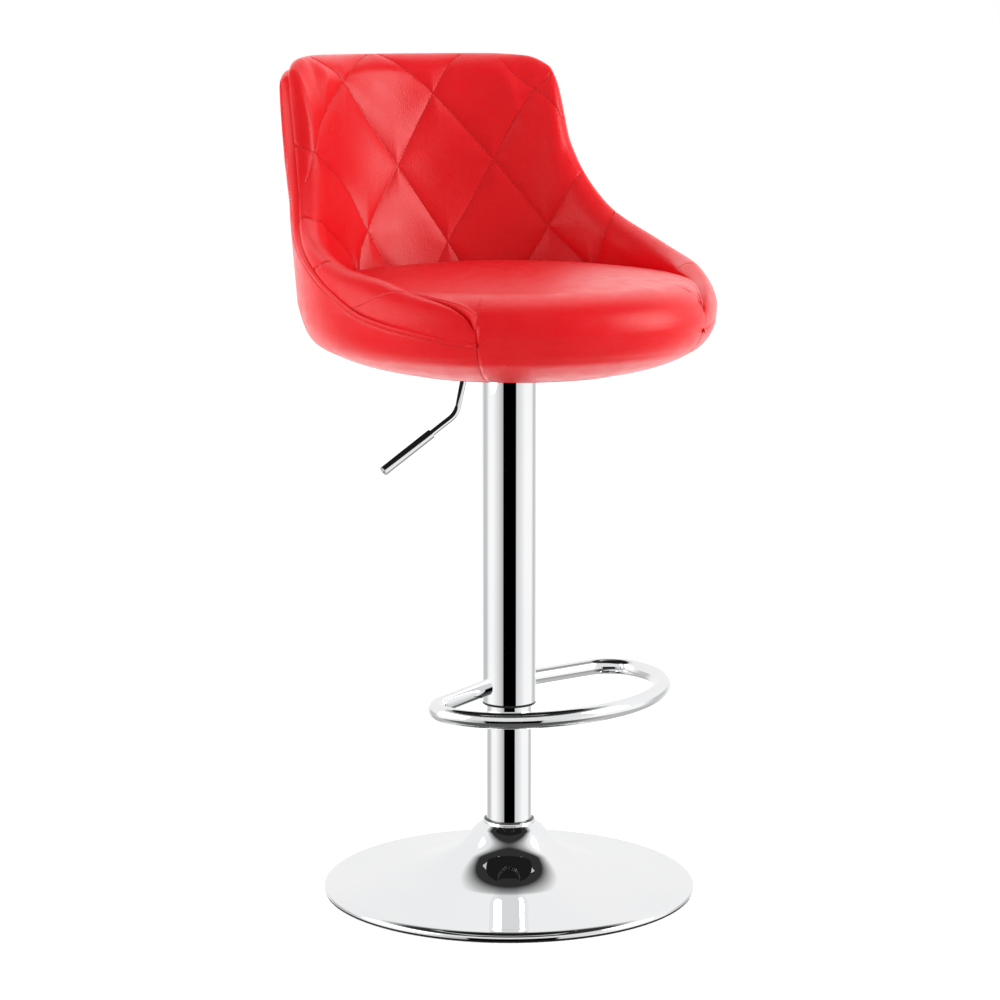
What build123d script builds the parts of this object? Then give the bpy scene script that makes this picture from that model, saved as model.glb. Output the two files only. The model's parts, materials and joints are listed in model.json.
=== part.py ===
from build123d import *
import os
from math import atan2, cos, degrees, hypot, pi, radians, sin, sqrt

os.makedirs("parts", exist_ok=True)

# Adjustable swivel stool: a round dished base, a gas-lift column with a foot loop,
# and a padded bucket seat that turns, rises and is let down with a side lever.
# Millimetres, floor at z = 0, column axis on Z, front of the seat towards -Y.

# Clearances
sliding_gap = 0.04
press_gap = 0.02
soft_gap = 0.3
pad_gap = 0.6
seam_gap = 0.8
turning_gap = 0.3

# How far a cutting shape runs past the face it cuts
past = 1.0

# Base
base_radius = 205.0
base_sheet = 1.5
base_rim_height = 8.0
base_lip = 2.0
neck_radius = 29.0
neck_height = 78.0
throat_radius = 37.0
throat_height = 69.0
waist_radius = 58.0
waist_height = 45.0
skirt_radius = 105.0
skirt_height = 23.0
floor_ring_height = 2.5
floor_ring_width = 12.0
floor_ring_inset = 1.0
weight_plate_thickness = 3.5
weight_plate_hole = 20.0
weight_plate_gap = 1.5
hub_radius = 33.0
hub_top = 58.0
neck_ring_depth = 4.0
neck_ring_lip = 0.5

# Column
stand_radius = 25.0
stand_wall = 1.5
stand_bottom = 20.0
stand_floor = 5.0
stand_top = 470.0
bush_length = 85.0
bush_flange = 3.0
cylinder_radius = 14.0
cylinder_bore = 12.3
cylinder_bottom = 132.0
cylinder_head = 62.0
taper_length = 34.0
taper_top_radius = 13.4
rod_radius = 5.0
rod_bottom = 11.0
piston_bottom = 293.0
piston_length = 14.0
piston_stem_radius = 4.0
piston_nut_height = 6.0
piston_nut_flats = 14.0
seal_height = 3.0
seal_depth = 2.0
gland_length = 24.0
clip_bottom = 15.0
clip_thickness = 2.0
clip_radius = 8.5
clip_groove_radius = 4.0
bumper_length = 18.0
bumper_radius = 11.0
rod_collar_radius = 8.0
rod_collar_height = 3.0

# Thrust bearing under the rod collar
race_thickness = 2.0
race_radius = 15.0
ball_radius = 2.0
ball_circle = 11.0
ball_count = 6
ball_gap = 0.05
cage_thickness = 1.5
cage_gap = 0.5

# Cover tube and foot loop
cover_radius = 29.5
cover_wall = 1.5
cover_bottom = 212.0
wear_ring_lip = 2.5
wear_ring_depth = 20.0
cover_cap_height = 16.0
loop_radius = 9.0
loop_wall = 1.5
loop_height = 230.0
loop_half_width = 151.5
loop_shoulder = 50.0
loop_front = 113.0
loop_corner = 39.0
loop_arm_slope = 11.5
loop_turn = 16.0

# Seat plate, lever and button
plate_web_bottom = 587.0
plate_sheet = 3.0
plate_depth = 25.0
channel_half_width = 31.0
channel_half_length = 45.0
flange_half_length = 75.0
flange_half_width = 80.0
hub_socket_radius = 21.0
bolt_radius = 3.0
bolt_spacing = 62.0
bolt_hole_gap = 0.3
bolt_head_height = 4.0
bolt_head_flats = 10.0
washer_radius = 8.0
washer_thickness = 1.6
tee_nut_radius = 4.5
tee_nut_flange_radius = 9.0
tee_nut_flange = 1.5
lever_radius = 3.5
lever_elbow_bend = 10.0
lever_knee_bend = 22.0
lever_inner_end = 8.0
lever_elbow_x = -50.5
lever_knee = (-66.7, 534.7)
lever_tip = (-154.0, 481.8)
sleeve_radius = 5.3
sleeve_length = 65.0
sleeve_bore = 2.0
sleeve_bore_depth = 12.0
lever_pivot_x = -36.0
pivot_pin_radius = 3.0
pivot_barrel_radius = 6.0
pivot_barrel_half = 24.0
button_radius = 4.0
button_length = 40.0
button_rise = 6.0
button_to_lever = 0.5

# Seat frame
board_thickness = 15.0
shell_thickness = 6.0
shell_lift = 5.0
shell_drop = 8.0
board_gap = 0.1
screw_radius = 2.0
screw_length = 30.0
screw_angles = (-85.0, -35.0, 35.0, 85.0)
underside_sheet = 0.8
sheet_window_gap = 1.0

# Seat padding
seat_radius = 226.0
seat_lean = 0.17
bowl_top = 631.0
bowl_depth = 60.0
hem_height = 581.0
hem_inner_radius = 118.0
hem_inner_height = 588.0
wall_thickness = 38.0
cover_thickness = 12.0
cushion_crown = 692.0
cushion_shoulder = (192.0, 677.0)
cushion_edge = (217.0, 661.0)
cushion_side = 635.0
front_seam_angle = 138.0
wing_seam_angle = 108.7
half_seam_angle = 0.1
wing_foot = 3.0
wing_step = 0.5
wing_bulge_out = 0.34
wing_bulge_up = 0.78
wing_bulge_full = 0.06
channel_width = 5.0
channel_depth = 3.0
quilt_pitch = 30.5
quilt_row = 81.0
quilt_centre_angle = 9.8
quilt_centre_height = 872.0
quilt_top = 900.0
quilt_bottom = 680.0
quilt_end_angle = 85.0
quilt_columns = 4

# Rim of the back and arms, by angle from the middle of the back:
# angle, crest height, drop to the outer seam, drop to the inner shoulder
back_stations = (
    (0.0, 912.0, 12.0, 18.0),
    (25.0, 912.0, 12.0, 18.0),
    (36.0, 910.5, 12.0, 18.0),
    (42.6, 900.0, 12.0, 18.0),
    (45.0, 882.0, 12.0, 18.0),
    (49.5, 814.0, 12.0, 18.0),
    (56.0, 770.0, 12.0, 18.0),
    (65.0, 737.0, 12.0, 18.0),
    (76.5, 717.0, 13.0, 18.0),
    (92.5, 699.0, 22.0, 17.0),
    (wing_seam_angle - half_seam_angle, 689.0, 36.0, 11.0),
)
back_steps = 24
roll_steps = 4
seam_turn = 3.0
wing_ease_angle = 80.0
shoulder_turn = 4.5

# Tips of the arms: angle, outer seam height, crease height, crease distance from the rim
wing_stations = (
    (wing_seam_angle + half_seam_angle, 653.0, 678.0, wall_thickness - wing_step),
    (120.0, 644.0, 674.0, 26.0),
    (130.0, 637.0, 666.0, 15.0),
    (front_seam_angle - half_seam_angle, 633.0, 648.0, 6.5),
)

board_radius = seat_radius - cover_thickness - soft_gap - shell_thickness - board_gap
board_bottom = plate_web_bottom + plate_depth
board_top = board_bottom + board_thickness
shell_bottom = board_bottom + shell_lift
cover_top = plate_web_bottom
cylinder_top = plate_web_bottom + plate_sheet
lever_height = cylinder_top + button_rise + button_to_lever + lever_radius


def save(shape, name):
    export_step(shape, f"parts/{name}.step")


def disc(radius, bottom, top):
    body = Cylinder(radius, top - bottom, align=(Align.CENTER, Align.CENTER, Align.MIN))
    return Pos(0, 0, bottom) * body


def ring(outer, inner, bottom, top):
    return disc(outer, bottom, top) - disc(inner, bottom - past, top + past)


def slab(x_range, y_range, z_range):
    size = [high - low for low, high in (x_range, y_range, z_range)]
    middle = [(low + high) / 2 for low, high in (x_range, y_range, z_range)]
    return Pos(*middle) * Box(*size)


def spun(edges, sweep_angle=360.0):
    return revolve(make_face(edges), Axis.Z, sweep_angle)


# Base

def dish_points(depth):
    stations = (
        (neck_radius, neck_height),
        (throat_radius, throat_height),
        (waist_radius, waist_height),
        (skirt_radius, skirt_height),
        (base_radius - base_lip, base_rim_height),
    )
    moved = []
    for index, (r, z) in enumerate(stations):
        before = stations[max(index - 1, 0)]
        after = stations[min(index + 1, len(stations) - 1)]
        run = after[0] - before[0]
        fall = after[1] - before[1]
        length = hypot(run, fall)
        moved.append((r + depth * fall / length, 0, z - depth * run / length))
    return moved


def base_dish():
    top = dish_points(0.0)
    under = dish_points(base_sheet)
    lip_outer = (base_radius, 0, base_rim_height - base_lip)
    lip_foot = (base_radius, 0, floor_ring_height)
    lip_inner_foot = (base_radius - base_sheet, 0, floor_ring_height)
    lip_inner = (base_radius - base_sheet, 0, base_rim_height - base_lip - base_sheet / 2)
    under[0] = (neck_radius - base_sheet, 0, neck_height)
    under[-1] = (base_radius - base_lip - base_sheet, 0, base_rim_height - base_sheet)
    edges = [
        Spline(*top),
        Line(top[-1], lip_outer),
        Line(lip_outer, lip_foot),
        Line(lip_foot, lip_inner_foot),
        Line(lip_inner_foot, lip_inner),
        Line(lip_inner, under[-1]),
        Spline(*reversed(under)),
        Line(under[0], top[0]),
    ]
    return spun(edges)


def base_parts():
    plate_top = floor_ring_height + weight_plate_thickness
    plate_radius = base_radius - base_sheet - weight_plate_gap
    save(base_dish(), "base_dish")
    foot_radius = base_radius - floor_ring_inset
    save(ring(foot_radius, foot_radius - floor_ring_width, 0, floor_ring_height), "floor_ring")
    save(ring(plate_radius, weight_plate_hole, floor_ring_height, plate_top), "weight_plate")
    hub = ring(hub_radius, weight_plate_hole, plate_top, hub_top)
    hub -= disc(stand_radius + press_gap, stand_bottom, hub_top + past)
    save(hub, "base_hub")
    neck_inner = neck_radius - base_sheet
    neck_ring = ring(neck_inner - press_gap, stand_radius + press_gap,
                     neck_height - neck_ring_depth, neck_height + neck_ring_lip)
    save(neck_ring, "neck_ring")


# Column and gas lift

def column_parts():
    tube = ring(stand_radius, stand_radius - stand_wall, stand_bottom, stand_top)
    floor = ring(stand_radius, rod_radius + turning_gap, stand_bottom, stand_bottom + stand_floor)
    save(tube + floor, "stand_tube")
    bush_bore = cylinder_radius + sliding_gap
    bush = ring(stand_radius - stand_wall - press_gap, bush_bore, stand_top - bush_length, stand_top)
    bush += ring(stand_radius, bush_bore, stand_top, stand_top + bush_flange)
    save(bush, "guide_bush")


def bearing_parts():
    floor_top = stand_bottom + stand_floor
    race_bore = rod_radius + turning_gap
    balls_at = floor_top + race_thickness + ball_radius + ball_gap
    upper = balls_at + ball_radius + ball_gap
    save(ring(race_radius, race_bore, floor_top, floor_top + race_thickness), "lower_race")
    save(ring(race_radius, rod_radius + press_gap, upper, upper + race_thickness), "upper_race")
    half_cage = cage_thickness / 2
    cage = ring(race_radius - cage_gap, race_bore + cage_gap, balls_at - half_cage, balls_at + half_cage)
    for index in range(ball_count):
        place = Rot(0, 0, index * 360 / ball_count) * Pos(ball_circle, 0, balls_at)
        cage -= place * Cylinder(ball_radius + ball_gap, 3 * cage_thickness)
        save(place * Sphere(ball_radius), f"bearing_ball_{index + 1}")
    save(cage, "ball_cage")
    return upper + race_thickness


def lift_parts(collar_bottom):
    collar_top = collar_bottom + rod_collar_height
    clip_top = clip_bottom + clip_thickness
    piston_top = piston_bottom + piston_length
    rod = disc(rod_radius, rod_bottom, piston_bottom)
    rod += disc(piston_stem_radius, piston_bottom, piston_top + piston_nut_height)
    rod += disc(rod_collar_radius, collar_bottom, collar_top)
    rod -= ring(rod_radius + past, clip_groove_radius, clip_bottom - press_gap, clip_top + press_gap)
    save(rod, "piston_rod")
    save(ring(clip_radius, clip_groove_radius, clip_bottom, clip_top), "rod_clip")
    clip_washer_top = stand_bottom - turning_gap
    save(ring(race_radius, rod_radius + press_gap, clip_top + press_gap, clip_washer_top), "clip_washer")
    save(ring(bumper_radius, rod_radius + press_gap, collar_top, collar_top + bumper_length), "bumper")
    seal_bottom = piston_bottom + (piston_length - seal_height) / 2
    seal_inner = cylinder_bore - seal_depth
    piston = ring(cylinder_bore - 2 * sliding_gap, piston_stem_radius, piston_bottom, piston_top)
    seal_top = seal_bottom + seal_height
    piston -= ring(cylinder_bore, seal_inner, seal_bottom, seal_top)
    save(piston, "piston")
    save(ring(cylinder_bore - sliding_gap, seal_inner, seal_bottom, seal_top), "piston_seal")
    nut = extrude(RegularPolygon(piston_nut_flats / 2, 6, major_radius=False), piston_nut_height)
    nut = Pos(0, 0, piston_top) * nut
    nut -= disc(piston_stem_radius, piston_top - past, piston_top + piston_nut_height + past)
    save(nut, "piston_nut")

    taper_start = cylinder_top - taper_length
    body = disc(cylinder_radius, cylinder_bottom, taper_start)
    body += Pos(0, 0, taper_start) * Cone(cylinder_radius, taper_top_radius, taper_length,
                                          align=(Align.CENTER, Align.CENTER, Align.MIN))
    body -= disc(cylinder_bore, cylinder_bottom - past, cylinder_top - cylinder_head)
    body -= disc(button_radius + sliding_gap, cylinder_top - cylinder_head - past, cylinder_top + past)
    save(body, "gas_cylinder")
    gland_top = cylinder_bottom + gland_length
    gland_radius = cylinder_bore - press_gap
    save(ring(gland_radius, rod_radius + sliding_gap, cylinder_bottom, gland_top), "cylinder_gland")
    save(ring(gland_radius, rod_radius + sliding_gap, gland_top, gland_top + seal_height), "gland_seal")
    button_top = cylinder_top + button_rise
    save(disc(button_radius, button_top - button_length, button_top), "release_button")


# Cover tube and foot loop

def foot_loop():
    slope = radians(loop_arm_slope)
    centre_x = loop_half_width - loop_corner
    bend = (centre_x + loop_corner * sin(slope), -loop_shoulder + loop_corner * cos(slope))
    other_bend = (-bend[0], bend[1])
    middle_turn = (pi / 2 - slope) / 2
    bend_middle_x = centre_x + loop_corner * cos(middle_turn)
    bend_middle_y = -loop_shoulder + loop_corner * sin(middle_turn)
    bend_middle = (bend_middle_x, bend_middle_y)
    front_centre = (0, -loop_shoulder)
    root_x = cover_radius - cover_wall
    root = (root_x, bend[1] + (bend[0] - root_x) * sin(slope) / cos(slope))
    path = [
        Line(root, bend),
        ThreePointArc(bend, bend_middle, (loop_half_width, -loop_shoulder)),
        EllipticalCenterArc(front_centre, loop_half_width, loop_front, start_angle=180, arc_size=180),
        ThreePointArc(other_bend, (-bend_middle_x, bend_middle_y), (-loop_half_width, -loop_shoulder)),
        Line((-root[0], root[1]), other_bend),
    ]
    wire = Wire([part.edge() for part in path])
    start = Plane(origin=(root[0], root[1], 0), z_dir=(cos(slope), -sin(slope), 0))
    bar = sweep(start * Circle(loop_radius), path=wire)
    bore = sweep(start * Circle(loop_radius - loop_wall), path=wire)
    loop = Pos(0, 0, loop_height) * (bar - bore)
    loop -= disc(cover_radius, loop_height - 2 * loop_radius, loop_height + 2 * loop_radius)
    return Rot(0, 0, loop_turn) * loop


def cover_parts():
    bore = cover_radius - cover_wall
    save(ring(cover_radius, bore, cover_bottom, cover_top), "cover_tube")
    lip = ring(cover_radius, stand_radius + sliding_gap, cover_bottom - wear_ring_lip, cover_bottom)
    wear = ring(bore - press_gap, stand_radius + sliding_gap, cover_bottom, cover_bottom + wear_ring_depth)
    save(lip + wear, "wear_ring")
    cap_bottom = cover_top - cover_cap_height
    save(ring(bore - press_gap, hub_socket_radius + press_gap, cap_bottom, cover_top), "cover_cap")
    save(foot_loop(), "foot_loop")


# Seat plate, bolts and lever

def bolt_places():
    return [(x, y) for x in (-bolt_spacing, bolt_spacing) for y in (-bolt_spacing, bolt_spacing)]


def seat_plate():
    web_top = plate_web_bottom + plate_sheet
    flange_bottom = board_bottom - plate_sheet
    inner = channel_half_width - plate_sheet
    whole_y = (-channel_half_width, channel_half_width)
    plate = slab((-channel_half_length, channel_half_length), whole_y, (plate_web_bottom, web_top))
    for side in (-1, 1):
        wall = sorted((side * inner, side * channel_half_width))
        flange = sorted((side * inner, side * flange_half_width))
        plate += slab((-channel_half_length, channel_half_length), wall, (plate_web_bottom, board_bottom))
        plate += slab((-flange_half_length, flange_half_length), flange, (flange_bottom, board_bottom))
    plate -= disc(hub_socket_radius + press_gap, plate_web_bottom - past, web_top + past)
    for x, y in bolt_places():
        plate -= Pos(x, y, 0) * disc(bolt_radius + bolt_hole_gap, flange_bottom - past, board_bottom + past)
    pin_hole = Rot(90, 0, 0) * Cylinder(pivot_pin_radius, 4 * channel_half_width)
    return plate - Pos(lever_pivot_x, 0, lever_height) * pin_hole


def taper_socket():
    bottom = cylinder_top - taper_length + plate_sheet
    socket = disc(hub_socket_radius, bottom, cylinder_top)
    per_mm = (cylinder_radius - taper_top_radius) / taper_length
    low_radius = taper_top_radius + per_mm * (cylinder_top - bottom) + press_gap
    bore = Cone(low_radius, taper_top_radius + press_gap, cylinder_top - bottom,
                align=(Align.CENTER, Align.CENTER, Align.MIN))
    return socket - Pos(0, 0, bottom) * bore


def bolt_parts():
    flange_bottom = board_bottom - plate_sheet
    washer_bottom = flange_bottom - washer_thickness
    head_bottom = washer_bottom - bolt_head_height
    head = extrude(RegularPolygon(bolt_head_flats / 2, 6, major_radius=False), bolt_head_height)
    bolt = Pos(0, 0, head_bottom) * head + disc(bolt_radius, washer_bottom, board_top - tee_nut_flange)
    washer = ring(washer_radius, bolt_radius + bolt_hole_gap, washer_bottom, flange_bottom)
    nut = ring(tee_nut_radius, bolt_radius + press_gap, board_bottom, board_top)
    nut += ring(tee_nut_flange_radius, bolt_radius + press_gap, board_top - tee_nut_flange, board_top)
    for index, (x, y) in enumerate(bolt_places()):
        save(Pos(x, y, 0) * bolt, f"plate_bolt_{index + 1}")
        save(Pos(x, y, 0) * washer, f"plate_washer_{index + 1}")
        save(Pos(x, y, 0) * nut, f"tee_nut_{index + 1}")


def lever_parts():
    start = (lever_inner_end, 0, lever_height)
    knee = (lever_knee[0], 0, lever_knee[1])
    tip = (lever_tip[0], 0, lever_tip[1])
    bends = (lever_elbow_bend, lever_knee_bend)
    path = FilletPolyline(start, (lever_elbow_x, 0, lever_height), knee, tip, radius=bends)
    rod = sweep(Plane(origin=start, z_dir=(-1, 0, 0)) * Circle(lever_radius), path=path)
    across = Pos(lever_pivot_x, 0, lever_height) * Rot(90, 0, 0)
    rod += across * Cylinder(pivot_barrel_radius, 2 * pivot_barrel_half)
    rod -= across * Cylinder(pivot_pin_radius + sliding_gap, 4 * pivot_barrel_half)
    run = (tip[0] - knee[0], tip[2] - knee[2])
    length = hypot(*run)
    along = Plane(origin=tip, z_dir=(run[0] / length, 0, run[1] / length))
    end_wall = lever_radius
    outer = Pos(0, 0, end_wall / 2 - sleeve_length / 2) * Cylinder(sleeve_radius, sleeve_length + end_wall)
    bore = Pos(0, 0, -sleeve_length) * Cylinder(lever_radius + press_gap, 2 * sleeve_length)
    hang_hole = Cylinder(sleeve_bore, 2 * sleeve_bore_depth)
    save(rod, "lever_rod")
    save(along * (outer - bore - hang_hole), "lever_sleeve")
    pin = Rot(90, 0, 0) * Cylinder(pivot_pin_radius, 2 * channel_half_width)
    pin = Pos(lever_pivot_x, 0, lever_height) * pin
    save(pin, "lever_pin")


# Seat frame and padding

def lean_shift(z):
    return seat_lean * max(z - bowl_top, 0)


def rim_radius(angle, z):
    shift = lean_shift(z)
    turn = radians(angle)
    return shift * cos(turn) + sqrt(seat_radius ** 2 - (shift * sin(turn)) ** 2)


def bowl_radius(z):
    return seat_radius * sqrt(1 - ((bowl_top - z) / bowl_depth) ** 2)


def at(angle, r, z):
    turn = radians(angle)
    return (r * sin(turn), r * cos(turn), z)


def bowl_edges(place):
    middle = bowl_top - bowl_depth / 2
    upper = (bowl_top + middle) / 2
    lower = (hem_height + middle) / 2
    points = [
        place(seat_radius, bowl_top),
        place(bowl_radius(upper), upper),
        place(bowl_radius(middle), middle),
        place(bowl_radius(lower), lower),
        place(bowl_radius(hem_height), hem_height),
    ]
    arcs = [
        Edge.make_three_point_arc(points[0], points[1], points[2]),
        Edge.make_three_point_arc(points[2], points[3], points[4]),
    ]
    return arcs, points[0], points[-1]


def closed_wire(edges, corners):
    chain = list(edges)
    for first, second in zip(corners, corners[1:]):
        chain.append(Edge.make_line(first, second))
    return Wire(chain)


def slope_at(stations, index, column):
    if index in (0, len(stations) - 1):
        return 0.0
    before, here, after = stations[index - 1:index + 2]
    fall_in = (here[column] - before[column]) / (here[0] - before[0])
    fall_out = (after[column] - here[column]) / (after[0] - here[0])
    if fall_in * fall_out <= 0:
        return 0.0
    return 2 * fall_in * fall_out / (fall_in + fall_out)


def between(stations, angle, column):
    index = 0
    while stations[index + 1][0] < angle:
        index += 1
    low, high = stations[index], stations[index + 1]
    span = high[0] - low[0]
    t = (angle - low[0]) / span
    ease = t * t * (3 - 2 * t)
    leave = t * (1 - t) ** 2 * span * slope_at(stations, index, column)
    arrive = t * t * (t - 1) * span * slope_at(stations, index + 1, column)
    return low[column] * (1 - ease) + high[column] * ease + leave + arrive


def back_rows():
    end = back_stations[-1][0]
    rows = []
    for step in range(-back_steps, back_steps + 1):
        angle = end * step / back_steps
        turn = abs(angle)
        crest = between(back_stations, turn, 1)
        seam = crest - hypot(between(back_stations, turn, 2), crest - crest_after(turn, seam_turn))
        shoulder = crest - hypot(between(back_stations, turn, 3), crest - crest_after(turn, shoulder_turn))
        rows.append((angle, seam, crest, shoulder))
    return rows


def crest_after(angle, turn):
    end = back_stations[-1][0]
    room = min(1.0, (end - angle) / (end - wing_ease_angle))
    return between(back_stations, angle + turn * room, 1)


def rim_fall(angle):
    turn = abs(angle)
    fall = between(back_stations, turn, 1) - crest_after(turn, seam_turn)
    return fall / (seat_radius * radians(seam_turn))


def lofted(stations, section):
    return Solid.make_loft([section(*row) for row in stations])


def back_section(angle, seam, crest, shoulder):
    outer = rim_radius(angle, seam)
    inner_top = at(angle, rim_radius(angle, shoulder) - wall_thickness, shoulder)
    seam_point = at(angle, outer, seam)
    floor = board_top + soft_gap
    inner_foot = at(angle, rim_radius(angle, floor) - wall_thickness, floor)
    frame = cover_thickness + shell_thickness + soft_gap + pad_gap
    roll = Edge.make_spline(roll_points(angle, seam, crest, shoulder))
    corners = [
        seam_point,
        at(angle, outer - frame, seam),
        at(angle, seat_radius - frame, bowl_top),
        at(angle, seat_radius - frame, floor),
        inner_foot,
        inner_top,
    ]
    return closed_wire([roll], corners)


def roll_points(angle, seam, crest, shoulder):
    points = []
    for step in range(2 * roll_steps + 1):
        turn = radians(90 * step / roll_steps)
        foot = shoulder if step <= roll_steps else seam
        z = foot + (crest - foot) * sin(turn)
        inside = wall_thickness / 2 * (1 + cos(turn))
        points.append(at(angle, rim_radius(angle, z) - inside, z))
    return points


def skin_section(angle, seam, crest, shoulder):
    low = quilt_bottom
    high = shoulder
    corners = []
    outline = ((-past, low), (-past, high), (channel_depth, high), (channel_depth, low), (-past, low))
    for depth, z in outline:
        corners.append(at(angle, rim_radius(angle, z) - wall_thickness + depth, z))
    return closed_wire([], corners)


def shell_section(angle, seam, crest, shoulder):
    outside = cover_thickness + soft_gap
    inside = outside + shell_thickness
    top = seam - shell_drop
    corners = [
        at(angle, seat_radius - inside, shell_bottom),
        at(angle, seat_radius - inside, bowl_top),
        at(angle, rim_radius(angle, top) - inside, top),
        at(angle, rim_radius(angle, top) - outside, top),
        at(angle, seat_radius - outside, bowl_top),
        at(angle, seat_radius - outside, shell_bottom),
        at(angle, seat_radius - inside, shell_bottom),
    ]
    return closed_wire([], corners)


def outer_section(angle, seam, crest, shoulder):
    arcs, bowl_start, bowl_end = bowl_edges(lambda r, z: at(angle, r, z))
    top = seam - seam_gap * hypot(1, rim_fall(angle))
    under = board_bottom - soft_gap
    corners = [
        bowl_end,
        at(angle, hem_inner_radius, hem_inner_height),
        at(angle, hem_inner_radius, under),
        at(angle, board_radius + soft_gap, under),
        at(angle, board_radius + soft_gap, shell_bottom - soft_gap),
        at(angle, seat_radius - cover_thickness, shell_bottom - soft_gap),
        at(angle, seat_radius - cover_thickness, bowl_top),
        at(angle, rim_radius(angle, top) - cover_thickness, top),
        at(angle, rim_radius(angle, top), top),
        bowl_start,
    ]
    return closed_wire(arcs, corners)


def wall_space(angle, seam, crest, shoulder):
    low = board_top - past
    high = cushion_crown + past
    outside = seat_radius + wall_thickness
    corners = [
        at(angle, rim_radius(angle, low) - wall_thickness - soft_gap, low),
        at(angle, rim_radius(angle, high) - wall_thickness - soft_gap, high),
        at(angle, outside, high),
        at(angle, outside, low),
        at(angle, rim_radius(angle, low) - wall_thickness - soft_gap, low),
    ]
    return closed_wire([], corners)


def wing_section(angle, seam, crease, inset):
    inner = seat_radius - inset
    foot = board_top + 2 * soft_gap
    seam_point = at(angle, rim_radius(angle, seam), seam)
    crease_point = at(angle, inner, crease)
    bulge_height = seam + wing_bulge_up * (crease - seam) + wing_bulge_full * inset
    bulge = at(angle, seat_radius - wing_bulge_out * inset, bulge_height)
    arc = Edge.make_three_point_arc(crease_point, bulge, seam_point)
    corners = [seam_point, at(angle, inner + wing_foot, foot), at(angle, inner, foot), crease_point]
    return closed_wire([arc], corners)


def wing_outer_section(angle, seam, crease, inset):
    arcs, bowl_start, bowl_end = bowl_edges(lambda r, z: at(angle, r, z))
    inner = seat_radius - inset + wing_foot
    top = seam - seam_gap
    under = board_bottom - soft_gap
    edge = board_radius + soft_gap
    corners = [
        bowl_end,
        at(angle, hem_inner_radius, hem_inner_height),
        at(angle, hem_inner_radius, under),
        at(angle, edge, under),
        at(angle, edge, board_top + soft_gap / 2),
        at(angle, inner, board_top + soft_gap),
        at(angle, rim_radius(angle, top), top),
        bowl_start,
    ]
    return closed_wire(arcs, corners)


def quilt_channels():
    blades = []
    for lean_way in (-1, 1):
        for step in range(-quilt_columns, quilt_columns + 1):
            ends = []
            for z in (quilt_top, quilt_bottom):
                slide = lean_way * (quilt_centre_height - z) / quilt_row * quilt_pitch / 2
                angle = quilt_centre_angle + step * quilt_pitch + slide
                ends.append(Vector(*at(angle, rim_radius(angle, z) - wall_thickness, z)))
            middle = (ends[0] + ends[1]) * 0.5
            run = ends[1] - ends[0]
            outward = Vector(middle.X, middle.Y, 0).normalized()
            blade = Plane(origin=middle, x_dir=run, z_dir=run.cross(outward))
            mid_angle = degrees(atan2(middle.X, middle.Y))
            if abs(mid_angle) < quilt_end_angle:
                blades.append(blade * Box(run.length + 2 * past, 3 * wall_thickness, channel_width))
    return blades


def back_pad(stations):
    pad = lofted(stations, back_section)
    skin = lofted([row for row in stations if abs(row[0]) < quilt_end_angle], skin_section)
    return pad - [skin & blade for blade in quilt_channels()]


def seat_cushion():
    def place(r, z):
        return (r, 0, z)

    floor = board_top + soft_gap
    edge = board_radius + soft_gap
    under = board_bottom - soft_gap
    arcs, bowl_start, bowl_end = bowl_edges(place)
    reach, shoulder_height = cushion_shoulder
    crown_rise = cushion_crown - shoulder_height
    crown_radius = (reach ** 2 + crown_rise ** 2) / (2 * crown_rise)
    crown_centre = cushion_crown - crown_radius
    crown_mid = place(reach / 2, crown_centre + sqrt(crown_radius ** 2 - reach ** 2 / 4))
    shoulder = place(*cushion_shoulder)
    side = place(seat_radius, cushion_side)
    dome = spun([
        Line(place(0, floor), place(edge, floor)),
        Line(place(edge, floor), place(edge, bowl_top)),
        Line(place(edge, bowl_top), bowl_start),
        Line(bowl_start, side),
        ThreePointArc(side, place(*cushion_edge), shoulder),
        ThreePointArc(shoulder, crown_mid, place(0, cushion_crown)),
        Line(place(0, cushion_crown), place(0, floor)),
    ])
    shift = lean_shift(cushion_shoulder[1])
    inner = seat_radius - wall_thickness - soft_gap
    back_end = at(wing_seam_angle, inner + shift * cos(radians(wing_seam_angle)), 0)
    wing_rows = wing_stations[1:]
    curve = [back_end] + [at(row[0], seat_radius - row[3] - soft_gap, 0) for row in wing_rows]
    out_angle = front_seam_angle + 2 * half_seam_angle
    corner = at(out_angle, seat_radius + wall_thickness, 0)
    mirror = [(-x, y, z) for x, y, z in curve]
    mirror_corner = (-corner[0], corner[1], corner[2])
    plan = make_face([
        ThreePointArc(mirror[0], (0, inner + shift, 0), curve[0]),
        Spline(*curve),
        Line(curve[-1], corner),
        ThreePointArc(corner, (0, -seat_radius - wall_thickness, 0), mirror_corner),
        Line(mirror_corner, mirror[-1]),
        Spline(*reversed(mirror)),
    ])
    top = dome & (Pos(0, 0, floor - past) * extrude(plan, cushion_crown))
    top -= lofted(back_rows(), wall_space)
    apron_edges = [
        *[Curve() + [arc] for arc in arcs],
        Line(bowl_end, place(hem_inner_radius, hem_inner_height)),
        Line(place(hem_inner_radius, hem_inner_height), place(hem_inner_radius, under)),
        Line(place(hem_inner_radius, under), place(edge, under)),
        Line(place(edge, under), place(edge, bowl_top)),
        Line(place(edge, bowl_top), bowl_start),
    ]
    half = 180 - out_angle
    apron = Rot(0, 0, -90 - half) * spun(apron_edges, 2 * half)
    return top + apron


def seat_board():
    board = disc(board_radius, board_bottom, board_top)
    for x, y in bolt_places():
        board -= Pos(x, y, 0) * disc(tee_nut_radius, board_bottom - past, board_top + past)
        board -= Pos(x, y, 0) * disc(tee_nut_flange_radius, board_top - tee_nut_flange, board_top + past)
    return board


def shell_screw(angle):
    middle_z = (board_bottom + board_top) / 2
    head = seat_radius - cover_thickness - soft_gap
    return Plane(origin=at(angle, head - screw_length / 2, middle_z), z_dir=at(angle, 1, 0))


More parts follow.
